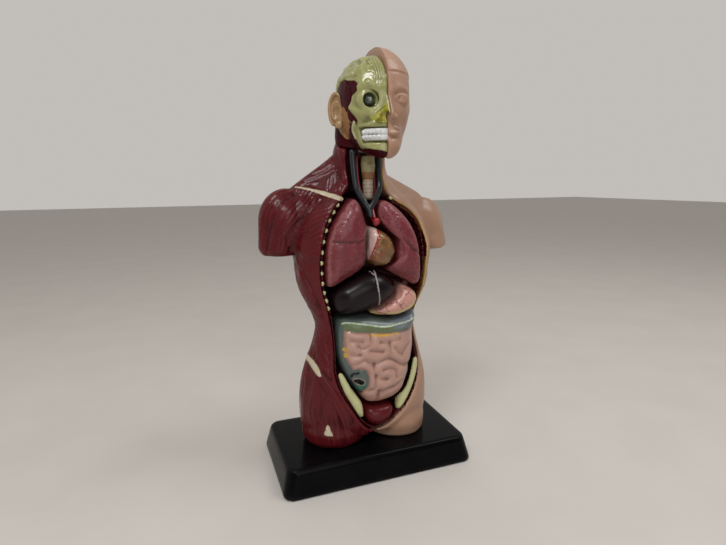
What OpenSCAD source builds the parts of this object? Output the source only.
// Desk-top torso anatomy model: a half-skinned figure cut off at the thighs and
// upper arms, on a rectangular base, with an open front that holds lift-out organs.
// Frame: origin at the centre of the base's underside, +Z up, the figure faces -Y,
// and its own right side (the muscle side) is -X.

/* [Base] */
// Width of the base plate at its foot
base_w = 133; // [126:1:140]
// Depth of the base plate at its foot
base_d = 78; // [74:1:84]
// Height of the base plate
base_h = 18; // [16:0.5:20]
// How far each side leans in between foot and top
base_lean = 3.5; // [2:0.5:5]
// Corner radius of the base plate, seen from above
base_corner = 7; // [5:1:10]
// Wall thickness of the base tray
base_wall = 3; // [2:0.5:4]

/* [Body shell] */
// Wall thickness of the trunk shells
shell_wall = 2.4; // [2:0.1:3]
// Gap left between neighbouring mouldings
seam = 0.2; // [0.1:0.05:0.3]
// Wall thickness of the cavity tray
tray_wall = 1.2; // [1:0.1:1.4]
// Depth of the cavity floor behind the body's mid-plane
cavity_back = 8; // [6:0.5:9]

/* [Head] */
// How far the head's mid-plane stands to the figure's left of the trunk's
head_x = 2; // [0:0.5:4]
// How much thinner the skull half is than the skin half
skull_inset = 1.2; // [0.5:0.1:2]
// Radius of the eyeball
eye_r = 4; // [3.5:0.1:4.5]

/* [Fasteners] */
// Radius of the pins that the organs push onto
pin_r = 1.5; // [1.2:0.1:1.8]
// Radial clearance between a pin and the organ's socket
pin_play = 0.1; // [0.05:0.05:0.2]
// How far a pin stands out of the cavity floor
pin_reach = 7; // [5:0.5:9]
// Radius of a base screw's shank
screw_r = 1.4; // [1.2:0.1:1.6]
// Radius of a base screw's head
screw_head_r = 3; // [2.5:0.1:3.2]

/* [Smoothness] */
// Points round a trunk or head section
section_points = 40; // [32:4:56]
// Points between two outline control points
outline_steps = 4; // [3:1:5]

/* [Hidden] */

muscle_colour = "#5a1218";
skin_colour = "#c08f78";
bone_colour = "#c5c67e";
lung_colour = "#7c2f36";
vein_colour = "#3c4349";
far = 200;

// Sections of the trunk and neck: [height, half width, front, back]
trunk_stations = [[25, 43.5, -20.5, 20], [32, 45.3, -23, 23], [40, 46, -24.5, 25], [52, 45.5, -25.5, 27],
    [66, 43.3, -25.5, 25], [80, 39, -25, 20], [92, 35.5, -24.5, 17], [102, 34.4, -24.5, 16.5],
    [112, 38, -25, 18], [124, 43.5, -26.5, 22], [138, 46.3, -28, 26], [152, 46, -28.5, 28],
    [165, 44, -26.5, 29.5], [176, 38, -23, 29], [184, 29.5, -19, 27.5], [191, 22, -16, 25],
    [199, 16.5, -14, 21.5], [208, 14.6, -15, 18], [226, 14.6, -18, 14]];
// Sections of one thigh, about its own axis: [height, half width, front, back]
thigh_stations = [[base_h, 20.8, -20.5, 20], [27, 21.8, -21.8, 21.5], [36, 21, -20, 20]];
thigh_x = 22.8;
// Height of the flat cut across the upper arms
arm_cut_z = 147;
// How much lower the figure's left shoulder hangs than its right one
shoulder_drop = 6;
// Sections of the head: [height, half width, front, back]
head_stations = [[206, 4, -35, -22], [209, 8.5, -37.5, -12], [214, 13, -38.5, -3],
    [221, 17, -38.5, 9], [229, 20.3, -38.5, 13], [239, 21.8, -38, 15], [249, 22.2, -38.5, 16],
    [257.5, 20.8, -36, 14], [265, 16.5, -30.5, 8.5], [269.8, 10.5, -24, 2], [272, 3, -16, -7]];
// How much of the skin half's height above the brow the skull half keeps
skull_crown = 0.86;

// The front opening, seen from the front, anticlockwise from the figure's left waist
opening_points = [[30.5, 98], [33, 109], [37, 122], [39, 138], [38.5, 152], [35, 164],
    [30, 171.5], [22, 177.5], [14.5, 182], [10, 188], [9, 197], [9, 214], [-12.5, 214],
    [-12.5, 198], [-14, 190], [-18, 184.5], [-24, 177.5], [-30, 167.5], [-33.8, 154],
    [-34.8, 141], [-33.8, 128], [-31, 117], [-28.6, 107], [-27.2, 96], [-27, 84], [-27.2, 71],
    [-23.5, 58], [-17, 46.5], [-10.5, 36], [-5, 30], [1, 28], [8, 29.5], [16, 35], [23.5, 43],
    [30, 53], [34, 64], [34.5, 75], [31.5, 88]];
// Height above which the opening is only a shallow channel in the neck
neck_channel_z = 186;
// Floor of the neck channel
neck_channel_y = -5;
// How far back the opening cuts into the shells, short of their rear walls
shell_cut_back = 1;
// Height of the floor inside the trunk shells
hollow_floor_z = 27;
// Height of the hollow's top, where the solid neck starts
hollow_top_z = 184;

function curve(a, b, c, d, t) = 0.5 * (2 * b + (c - a) * t + (2 * a - 5 * b + 4 * c - d) * t * t
    + (3 * b - a - 3 * c + d) * t * t * t);
// A smooth closed curve through the points
function smooth_loop(p, steps = outline_steps) = let (n = len(p))
    [for (i = [0:n - 1]) for (k = [0:steps - 1])
        curve(p[(i + n - 1) % n], p[i], p[(i + 1) % n], p[(i + 2) % n], k / steps)];
// A smooth open curve through the points
function smooth_line(p, steps = 2) = let (n = len(p)) concat(
    [for (i = [0:n - 2]) for (k = [0:steps - 1])
        curve(p[max(i - 1, 0)], p[i], p[i + 1], p[min(i + 2, n - 1)], k / steps)], [p[n - 1]]);
function power(v, e) = sign(v) * pow(abs(v), e);
// One rounded section of a body, thinned all round by inset
function section(s, inset = 0, square = 0.9) = [for (i = [0:section_points - 1])
    let (a = 360 * i / section_points)
        [(s[1] - inset) * power(cos(a), square),
         (s[2] + s[3]) / 2 + ((s[3] - s[2]) / 2 - inset) * power(sin(a), square), s[0]]];

// A closed skin over a stack of rings that all have the same number of points
module loft(rings) {
    n = len(rings[0]);
    m = len(rings);
    points = [for (r = rings) each r];
    sides = [for (k = [0:m - 2]) for (i = [0:n - 1]) let (j = (i + 1) % n)
        each [[k * n + i, k * n + n + i, k * n + n + j], [k * n + i, k * n + n + j, k * n + j]]];
    polyhedron(points, concat(sides, [[for (i = [0:n - 1]) i]],
        [[for (i = [0:n - 1]) m * n - 1 - i]]), convexity = 6);
}
// A body of stacked sections, thinned all round by inset
module stacked(stations, inset = 0, square = 0.9) {
    loft([for (s = smooth_line(stations)) section(s, inset, square)]);
}
// A soft organ: sides that widen from the back (by 1 / heel), then a dome over its centre
module organ_form(outline, centre, back, edge, front, dome = 5, heel = 0.97) {
    function ring(s, y) = [for (p = outline)
        [centre[0] + (p[0] - centre[0]) * s, y, centre[1] + (p[1] - centre[1]) * s]];
    loft(concat([ring(heel, back), ring(1, back - 2 - 35 * (0.97 - heel))],
        [for (k = [0:dome]) let (a = 82 * k / dome)
            ring(sqrt(cos(a)), edge + (front - edge) * sin(a))]));
}
// Everything on one side of a plane across X
module side_of(x, left) {
    translate([left ? x : x - far, -far / 2, -10]) cube([far, far, far * 1.6]);
}
// The slanting cut between neck and head, as the block above it
module above_neck_cut(gap) {
    translate([0, -35, 206.2 + gap]) rotate([16, 0, 0]) translate([-far / 2, -far / 2, 0]) cube(far);
}
// One shoulder: slope from the neck, rounded deltoid and the arm cut off flat; the slope and the
// deltoid hang lower by drop
module shoulder(drop) {
    hull() {
        translate([8, 7, 208 - 2 * drop]) sphere(7, $fn = 20);
        translate([36, 11, 180 - 0.8 * drop]) sphere(13, $fn = 20);
        translate([30, 6, 160]) sphere(18, $fn = 20);
    }
    hull() {
        translate([49.5 - drop / 3, 12.5, 169 - drop]) scale([17 - drop / 6, 18, 19.5])
            sphere(1, $fn = 28);
        translate([55, 12.5, arm_cut_z]) scale([11.8, 15.5, 1]) cylinder(r = 1, h = 1, $fn = 32);
    }
    hull() {
        translate([38, 9, 173 - drop]) sphere(15, $fn = 20);
        translate([46, 11, 166 - drop]) sphere(13, $fn = 20);
        translate([34, 8, 152]) sphere(13, $fn = 20);
    }
}
// The muscle that runs down the figure's right side of the neck
module neck_muscle() {
    hull() {
        translate([-12, 4, 218]) scale([5, 8, 6]) sphere(1, $fn = 20);
        translate([-13, 2, 188]) scale([6, 9, 6]) sphere(1, $fn = 20);
    }
}
// One thigh, cut off flat on the base
module thigh(inset = 0) {
    translate([thigh_x, 0, 0]) stacked(thigh_stations, inset, 1);
}
// The outer form of the body, both sides
module body_form() {
    stacked(trunk_stations);
    neck_muscle();
    for (m = [0, 1]) mirror([m, 0, 0]) {
        shoulder(m == 0 ? shoulder_drop : 0);
        thigh();
    }
}
// The hollow inside the trunk, above the solid feet of the thighs
module body_hollow() {
    intersection() {
        stacked([for (s = trunk_stations) if (s[0] <= hollow_top_z) s], shell_wall);
        translate([-far / 2, -far / 2, hollow_floor_z]) cube(far);
    }
}
// The front opening and the channel up the neck, shrunk all round by gap
module opening_cut(gap, back) {
    intersection() {
        translate([0, back, 0]) rotate([90, 0, 0]) linear_extrude(far)
            offset(delta = -gap) polygon(smooth_loop(opening_points, 2));
        union() {
            translate([-far / 2, -far, 0]) cube([far, 2 * far, neck_channel_z]);
            translate([-far / 2, -far, 0]) cube([far, far + neck_channel_y, far * 1.5]);
        }
    }
}
// Screw places in the base: two under each thigh
module at_screws() {
    for (x = [-thigh_x, thigh_x]) for (y = [-9, 9]) translate([x, y, 0]) children();
}
module half_shell(left) {
    difference() {
        resize([0, 0, 0]) difference() {
            intersection() {
                body_form();
                side_of(left ? seam / 2 : -seam / 2, left);
            }
            body_hollow();
            opening_cut(0, shell_cut_back);
            above_neck_cut(0);
        }
        at_screws() translate([0, 0, base_h - 1]) cylinder(r = screw_r, h = 9, $fn = 32);
    }
}
// Rounded block that the base tray is made from, shrunk all round by inset
module base_block(inset, top) {
    hull() for (x = [-1, 1]) for (y = [-1, 1])
        translate([x * (base_w / 2 - base_corner), y * (base_d / 2 - base_corner), 0]) {
            cylinder(r = base_corner - inset, h = 2, $fn = 40);
            translate([-x * base_lean, -y * base_lean, 0])
                cylinder(r = base_corner - inset, h = top - 1.2, $fn = 40);
            translate([-x * base_lean, -y * base_lean, 0])
                cylinder(r = base_corner - inset - 1.2, h = top, $fn = 40);
        }
}

module base_plate() {
    color("#0c0c0d") difference() {
        base_block(0, base_h);
        difference() {
            translate([0, 0, -1]) base_block(base_wall, base_h - base_wall + 1);
            for (x = [-thigh_x, 0, thigh_x])
                translate([x - 1.5, -base_d, -2]) cube([3, 2 * base_d, base_h + 4]);
            translate([-base_w, -1.5, -2]) cube([2 * base_w, 3, base_h + 4]);
            at_screws() translate([0, 0, -2]) cylinder(r = 6, h = base_h + 4, $fn = 40);
        }
        at_screws() {
            translate([0, 0, -1]) cylinder(r = screw_r + 0.3, h = base_h + 2, $fn = 32);
            translate([0, 0, -1]) cylinder(r = screw_head_r + 0.5, h = base_h - 3, $fn = 40);
        }
    }
}
module base_screws() {
    color("#9a9ca0") at_screws() difference() {
        union() {
            translate([0, 0, base_h - 6.4]) cylinder(r = screw_head_r, h = 2.4, $fn = 40);
            translate([0, 0, base_h - 5]) cylinder(r = screw_r, h = 12.5, $fn = 32);
        }
        for (a = [0, 90]) rotate(a) translate([-1.8, -0.35, base_h - 7]) cube([3.6, 0.7, 1.8]);
    }
}
module muscle_half_shell() {
    color(muscle_colour) half_shell(false);
}
module skin_half_shell() {
    color(skin_colour) half_shell(true);
}
// Places of the organ pins: [x, z] of each organ's socket
pin_places = [[-19, 152], [21, 150], [3, 152], [-14, 122], [17, 116], [0, 78]];
module at_pins() {
    for (p = pin_places) translate([p[0], 0, p[1]]) rotate([-90, 0, 0]) children();
}
// The room for the tray inside the trunk, thinned all round by inset
module tray_room(inset) {
    stacked([for (s = trunk_stations) if (s[0] <= 191) s], shell_wall + seam + inset);
}
module cavity_tray() {
    color("#43161a") difference() {
        resize([0, 0, 0]) difference() {
            intersection() {
                opening_cut(seam, cavity_back + tray_wall);
                tray_room(0);
                translate([-far / 2, -far / 2, 0]) cube([far, far, hollow_top_z - seam]);
            }
            intersection() {
                opening_cut(seam + tray_wall, cavity_back);
                union() {
                    tray_room(tray_wall);
                    translate([-far / 2, -far - 4, 0]) cube([far, far, far]);
                }
            }
        }
        at_pins() cylinder(r = pin_r, h = 2 * cavity_back, $fn = 32);
    }
}
module organ_pins() {
    color("#d8d4c4") at_pins() translate([0, 0, cavity_back - pin_reach])
        cylinder(r = pin_r, h = pin_reach + tray_wall, $fn = 32);
}
// An organ with the socket for its pin
module on_pin(place) {
    difference() {
        resize([0, 0, 0]) children();
        translate([place[0], cavity_back - pin_reach - 1, place[1]]) rotate([-90, 0, 0])
            cylinder(r = pin_r + pin_play, h = 2 * pin_reach, $fn = 32);
    }
}

// Depth of the trunk's front surface at a place seen from the front
function front_y(x, z) = let (
    a = lookup(z, [for (s = trunk_stations) [s[0], s[1]]]),
    f = lookup(z, [for (s = trunk_stations) [s[0], s[2]]]),
    b = lookup(z, [for (s = trunk_stations) [s[0], s[3]]]))
    (f + b) / 2 - (b - f) / 2 * pow(1 - pow(abs(x) / a, 2 / 0.9), 0.45);
// The sides of the opening, numbered along its outline, that carry a cut rib end
rib_sides = [[30:42], [16:16]];
module cut_rib_ends() {
    edge = smooth_loop(opening_points, 2);
    color("#cfc58e") for (run = rib_sides) for (k = run) {
        run_x = edge[k + 1][0] - edge[k][0];
        run_z = edge[k + 1][1] - edge[k][1];
        mid = (edge[k] + edge[k + 1]) / 2;
        translate([mid[0], front_y(mid[0], mid[1]) + 1.3, mid[1]])
            rotate([0, -atan2(run_z, run_x), 0]) intersection() {
                sphere(1.2, $fn = 24);
                translate([-2, -2, 0]) cube(4);
            }
    }
}
module pelvis_bone_right() {
    color(bone_colour) resize([0, 0, 0]) organ_form(smooth_loop([[-12, 53],
        [-17.8, 61.8], [-22.6, 70.4], [-23.9, 68.6], [-21, 59.4], [-16.4, 50.8], [-11.4, 41.6],
        [-9.2, 40.2], [-9.1, 47]], 3), [-16, 55], cavity_back - 0.2, -19, -23.5, 3);
}
module pelvis_bone_left() {
    color(bone_colour) resize([0, 0, 0]) organ_form(smooth_loop([[29, 58], [32, 68],
        [31, 73.4], [29.6, 71.6], [26.8, 62], [22.6, 53], [16.4, 47], [16.2, 40], [17.6, 38.9],
        [23, 46]], 3), [23.5, 54], cavity_back - 0.2, -15, -20, 3);
}
module bladder() {
    color("#4c1016") resize([0, 0, 0]) organ_form(smooth_loop([[15.2, 43], [14, 45],
        [7.7, 44.6], [0.1, 44.4], [-6, 45], [-8, 43], [-7.8, 38.4], [-4.2, 32.4], [1.4, 30],
        [7.6, 31.6], [13.4, 37]], 3), [3.5, 38], cavity_back - 0.2, -20, -25.5, 4);
}

module larynx_trachea() {
    color("#aeb06a") resize([0, 0, 0]) difference() {
        union() {
            for (k = [0:4]) translate([0, -9.8, 183 + 2.4 * k])
                cylinder(r1 = 3.6, r2 = 3.3, h = 2.3, $fn = 20);
            translate([0, -9.2, 182]) cylinder(r = 3, h = 14, $fn = 20);
            translate([0, -10, 195]) cylinder(r1 = 3.8, r2 = 4.8, h = 9.5, $fn = 20);
            translate([0, -9.8, 204]) cylinder(r1 = 4.6, r2 = 4.2, h = 5.5, $fn = 20);
        }
        above_neck_cut(-seam);
        translate([-far / 2, neck_channel_y - 0.2, 0]) cube([far, far, far * 2]);
    }
}
// A round vessel along a smooth line
module vessel(path, r) {
    p = smooth_line(path, 3);
    for (i = [0:len(p) - 2]) hull() {
        translate(p[i]) sphere(r, $fn = 10);
        translate(p[i + 1]) sphere(r, $fn = 10);
    }
}
module neck_veins() {
    color(vein_colour) resize([0, 0, 0]) difference() {
        union() {
            vessel([[-10.2, -9.5, 212], [-9.8, -10.5, 200], [-8.8, -13, 189], [-5.5, -17.5, 181],
                [-3, -19.5, 176]], 2);
            vessel([[7.4, -9, 212], [7.1, -10.5, 200], [6.2, -14, 189], [1, -18, 181],
                [-3, -19.5, 176]], 1.9);
            vessel([[-3, -19.5, 177], [-2.4, -20.2, 173]], 1.9);
        }
        above_neck_cut(-seam);
    }
}
module neck_arteries() {
    color("#8f1a22") resize([0, 0, 0]) difference() {
        union() {
            vessel([[-6.4, -7, 209], [-6.3, -7.5, 198], [-5.4, -10, 188], [-2.5, -13.8, 180],
                [0.6, -14, 175]], 0.9);
            vessel([[6.4, -6.2, 209], [5.2, -7.4, 196], [5.1, -9, 186], [2.8, -13.6, 180],
                [0.6, -14, 175]], 0.9);
            vessel([[0.6, -14, 176], [0.6, -17.5, 170.5]], 2);
        }
        above_neck_cut(-seam);
    }
}

// The head's outer form about its own mid-plane, thinned all round by inset
module head_form(inset = 0) {
    stacked(head_stations, inset, 0.95);
}
// The skull's outer form: the head's, thinner and with a lower crown
module skull_form(inset) {
    stacked([for (s = head_stations) [s[0] > 240 ? 240 + (s[0] - 240) * skull_crown : s[0],
        s[1], s[2], s[3]]], inset, 0.95);
}
// A nose as a wedge that widens downwards
module nose_form(size = 1) {
    hull() {
        translate([0, -37, 242]) sphere(1.4 * size, $fn = 16);
        translate([0, -41.5, 231]) sphere(2.2 * size, $fn = 16);
        translate([0, -36.5, 228.5]) scale([1.5, 1, 0.8]) sphere(3.2 * size, $fn = 16);
    }
}
module ear_form() {
    translate([-21, -6, 236]) rotate([8, 0, -18]) scale([3.2, 6, 11.5]) sphere(1, $fn = 20);
}
module face_half() {
    color(skin_colour) resize([0, 0, 0]) intersection() {
        difference() {
            translate([head_x, 0, 0]) {
                head_form();
                nose_form();
                mirror([1, 0, 0]) ear_form();
                translate([0, -37.6, 221.5]) scale([6, 1.8, 2.6]) sphere(1, $fn = 20);
            }
            translate([head_x + 9.5, -40.5, 240.5]) scale([5.5, 3.5, 3]) sphere(1, $fn = 20);
        }
        side_of(head_x + seam / 2, true);
        above_neck_cut(seam);
    }
}
// The jaw and temple muscle, shrunk all round by gap
module temple_pad(gap) {
    translate([head_x - 20.3, -16, 243]) scale([4.2 - gap, 12 - gap, 10 - gap]) sphere(1, $fn = 20);
    hull() {
        translate([head_x - 19, -14, 236]) scale([4.5 - gap, 6 - gap, 6 - gap]) sphere(1, $fn = 16);
        translate([head_x - 15.5, -12, 219]) scale([5 - gap, 7 - gap, 8 - gap]) sphere(1, $fn = 16);
    }
}
// The hollow that the ear's root sits in, shrunk all round by gap
module ear_seat(gap) {
    translate([head_x - 20.3, -6, 236]) scale([3.6 - gap, 6.6 - gap, 12 - gap])
        sphere(1, $fn = 20);
}
eye_place = [head_x - 9, -31.5, 240];
teeth_z = 220;
tooth_arc_r = 12.5;
tooth_arc_y = -24;
// A ring-shaped band round the front teeth, between two radii
module tooth_band(inner, outer, height) {
    intersection() {
        translate([head_x, tooth_arc_y, teeth_z - height / 2]) difference() {
            cylinder(r = outer, h = height, $fn = 40);
            translate([0, 0, -1]) cylinder(r = inner, h = height + 2, $fn = 40);
        }
        translate([head_x - far, tooth_arc_y - far - 2, 0]) cube([far - seam, far, 2 * far]);
    }
}
module skull_half() {
    color(bone_colour) resize([0, 0, 0]) intersection() {
        difference() {
            translate([head_x, 0, 0]) {
                skull_form(skull_inset);
                nose_form(0.8);
            }
            translate(eye_place) scale([6, 6, 5.6]) sphere(1, $fn = 20);
            translate([head_x - 2.4, -39, 230]) scale([2.6, 4, 3.2]) sphere(1, $fn = 16);
            temple_pad(0);
            tooth_band(tooth_arc_r - 1.5, tooth_arc_r + 6, 8.8);
            ear_seat(0);
        }
        side_of(head_x - seam / 2, false);
        above_neck_cut(seam);
    }
}
module jaw_muscle() {
    color("#3e0f16") resize([0, 0, 0]) intersection() {
        translate([head_x, 0, 0]) skull_form(skull_inset + 0.6);
        difference() {
            temple_pad(seam);
            ear_seat(-seam);
        }
        above_neck_cut(seam * 2);
    }
}
module eyeball() {
    color("#5b625c") translate(eye_place + [0, 1, 0]) sphere(eye_r, $fn = 48);
}
module teeth() {
    color("#e4e4e4") resize([0, 0, 0]) intersection() {
        union() {
            for (k = [0:5]) for (row = [-1, 1])
                translate([head_x - tooth_arc_r * sin(6 + 12.5 * k),
                    tooth_arc_y - tooth_arc_r * cos(6 + 12.5 * k), teeth_z + row * 1.95 - 1.85])
                    cylinder(r = 1.25, h = 3.7, $fn = 14);
            tooth_band(tooth_arc_r - 1.2, tooth_arc_r + 0.2, 7.6);
        }
        side_of(head_x - seam, false);
    }
}
module ear_right() {
    color("#b5805a") resize([0, 0, 0]) difference() {
        translate([head_x, 0, 0]) ear_form();
        translate([head_x - 24, -8, 238.5]) scale([1.6, 3.2, 6.5]) sphere(1, $fn = 16);
        translate([head_x, 0, 0]) skull_form(skull_inset - seam);
    }
}

module lung_right() {
    color(lung_colour) on_pin(pin_places[0]) organ_form(smooth_loop([[-5.2, 143], [-5, 157],
        [-4.2, 166], [-6, 172], [-7.6, 178], [-11, 183], [-15.4, 181.6], [-21, 176], [-28, 165],
        [-31.4, 154], [-32.2, 141], [-31.2, 129.6], [-27.6, 128], [-17, 133.2], [-9.8, 137.2]]),
        [-20, 155], cavity_back - 0.4, -14, -27.5);
}
module lung_left() {
    color(lung_colour) on_pin(pin_places[1]) organ_form(smooth_loop([[31.2, 124.8], [32.8, 133],
        [32.2, 146], [29.6, 158], [25, 168], [18.6, 175.6], [10.5, 181.6], [5.4, 180.8],
        [3.7, 175.8], [4.1, 170], [8, 164.2], [13.4, 158.6], [15.8, 151.5], [14.8, 144.6],
        [10.4, 139.4], [9.6, 136.4], [20, 130.6]]),
        [24, 150], cavity_back - 0.4, -13, -26.5);
}
module heart() {
    color("#8a6a34") on_pin(pin_places[2]) organ_form(smooth_loop([[14.4, 151], [11.8, 157.8],
        [6.8, 162.2], [1, 165], [-2.4, 163.6], [-3.8, 155], [-3.9, 146], [-1, 141],
        [4.4, 139.6], [9.8, 140.8], [13.4, 145.4]]),
        [3.2, 152], cavity_back - 0.4, -15, -27);
}
module liver() {
    color("#1d0a0d") on_pin(pin_places[3]) organ_form(smooth_loop([[16, 122], [18.6, 127],
        [12.4, 131.8], [5, 136], [-0.5, 137.6], [-5.4, 136.8], [-9.2, 135.4], [-16.8, 131.4],
        [-25.4, 127], [-28.6, 124.8], [-28.4, 118], [-26.8, 111.4], [-24, 108.6], [-19, 109.8],
        [-6.5, 110], [0.6, 113.8], [8.8, 117]]),
        [-8, 122], cavity_back - 0.4, -12, -26.5);
}
module stomach() {
    color("#c78d86") on_pin(pin_places[4]) organ_form(smooth_loop([[30.8, 116], [29.8, 121],
        [26, 124.4], [20.6, 126.4], [17.6, 121.4], [9.8, 115.8], [2.4, 112.6], [-3.2, 109.6],
        [3.6, 107.4], [15.6, 106.4], [26, 109.8]]),
        [16, 115], cavity_back - 0.4, -13, -26);
}
module intestines() {
    color("#c99a8c") on_pin(pin_places[5]) organ_form(smooth_loop([[28.6, 86], [28, 97],
        [30, 105], [28.8, 109.2], [22, 106.4], [13, 104.8], [4, 105.9], [-6, 108], [-17, 108.2],
        [-22, 106.2], [-24.2, 101], [-24.4, 86], [-22.4, 74.5], [-18.4, 65.5], [-12.8, 57.2],
        [-6.6, 48.8], [1, 46.2], [8, 46.6], [15.4, 49], [21, 54.5], [24.6, 64.4], [27.2, 75]]),
        [1, 82], cavity_back - 0.4, -15, -28.5, 5, 0.76);
}

base_plate();
base_screws();
muscle_half_shell();
skin_half_shell();
cavity_tray();
organ_pins();
cut_rib_ends();
pelvis_bone_right();
pelvis_bone_left();
bladder();
larynx_trachea();
neck_veins();
neck_arteries();
face_half();
skull_half();
jaw_muscle();
eyeball();
teeth();
ear_right();
lung_right();
lung_left();
heart();
liver();
stomach();
intestines();
